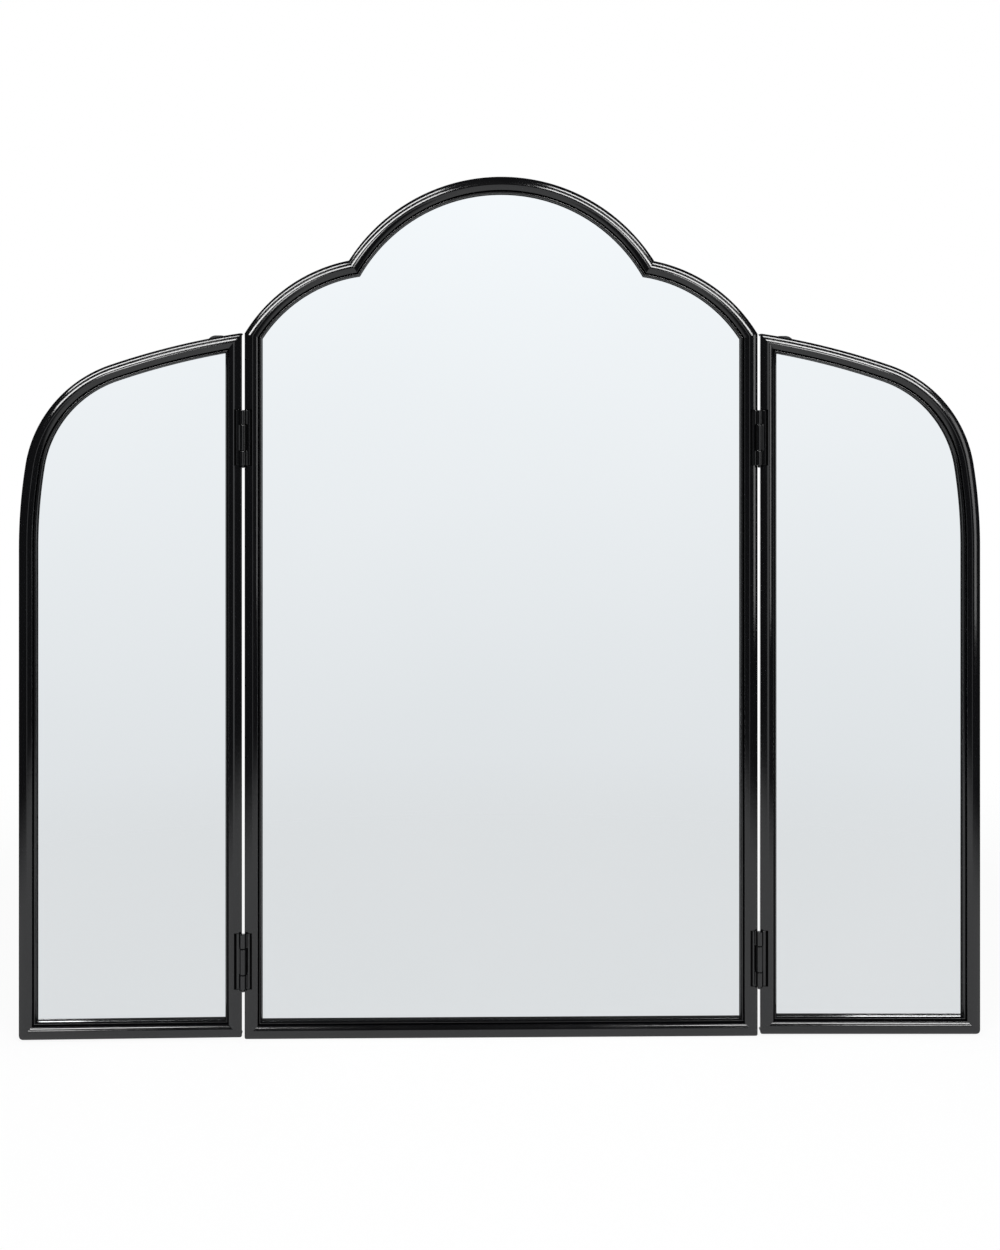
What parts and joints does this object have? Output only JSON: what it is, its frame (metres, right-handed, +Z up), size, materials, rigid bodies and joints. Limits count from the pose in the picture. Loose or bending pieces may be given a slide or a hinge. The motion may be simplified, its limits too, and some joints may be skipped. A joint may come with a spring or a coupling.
{
  "type": "dressing table mirror",
  "caption": "Table mirror with an arched centre pane and narrower hinged wings that fold forward over it, in black moulded steel frames.",
  "frame": {"origin": "middle of the underside of the centre panel's bottom rail", "axes": "+X to the viewer's right along the panels, +Y to the back, +Z up; the panes face -Y"},
  "size_m": [0.725, 0.0204, 0.65],
  "materials": {
    "frame_paint": "gloss black powder coat on steel",
    "hinge_paint": "gloss black paint on steel",
    "mirror_glass": "silvered float glass",
    "foam": "thin packing foam",
    "fibreboard": "plain hard fibreboard"
  },
  "bodies": {
    "centre_panel": {"centre_bottom_rail": "frame_paint", "centre_left_stile": "frame_paint", "centre_right_stile": "frame_paint", "centre_shoulders": "frame_paint", "centre_top_arch": "frame_paint", "centre_glass": "mirror_glass", "centre_foam": "foam", "centre_back_board": "fibreboard", "centre_back_tabs": "frame_paint", "left_upper_hinge_centre_leaf": "hinge_paint", "left_upper_hinge_pin": "hinge_paint", "left_lower_hinge_centre_leaf": "hinge_paint", "left_lower_hinge_pin": "hinge_paint", "right_upper_hinge_centre_leaf": "hinge_paint", "right_upper_hinge_pin": "hinge_paint", "right_lower_hinge_centre_leaf": "hinge_paint", "right_lower_hinge_pin": "hinge_paint"},
    "left_wing": {"left_wing_bottom_rail": "frame_paint", "left_wing_hinge_stile": "frame_paint", "left_wing_outer_bow": "frame_paint", "left_wing_glass": "mirror_glass", "left_wing_foam": "foam", "left_wing_back_board": "fibreboard", "left_wing_back_tabs": "frame_paint", "left_upper_hinge_wing_leaf": "hinge_paint", "left_lower_hinge_wing_leaf": "hinge_paint"},
    "right_wing": {"right_wing_bottom_rail": "frame_paint", "right_wing_hinge_stile": "frame_paint", "right_wing_outer_bow": "frame_paint", "right_wing_glass": "mirror_glass", "right_wing_foam": "foam", "right_wing_back_board": "fibreboard", "right_wing_back_tabs": "frame_paint", "right_upper_hinge_wing_leaf": "hinge_paint", "right_lower_hinge_wing_leaf": "hinge_paint"}
  },
  "joints": [
    {"name": "left_wing_fold", "type": "hinge", "parent": "centre_panel", "child": "left_wing", "pos_m": [-0.1947, -0.0085, 0.256], "axis": [0, 0, 1], "range_deg": [-6.7, 178.8]},
    {"name": "right_wing_fold", "type": "hinge", "parent": "centre_panel", "child": "right_wing", "pos_m": [0.1947, -0.0085, 0.256], "axis": [0, 0, -1], "range_deg": [-6.7, 178.8]}
  ]
}
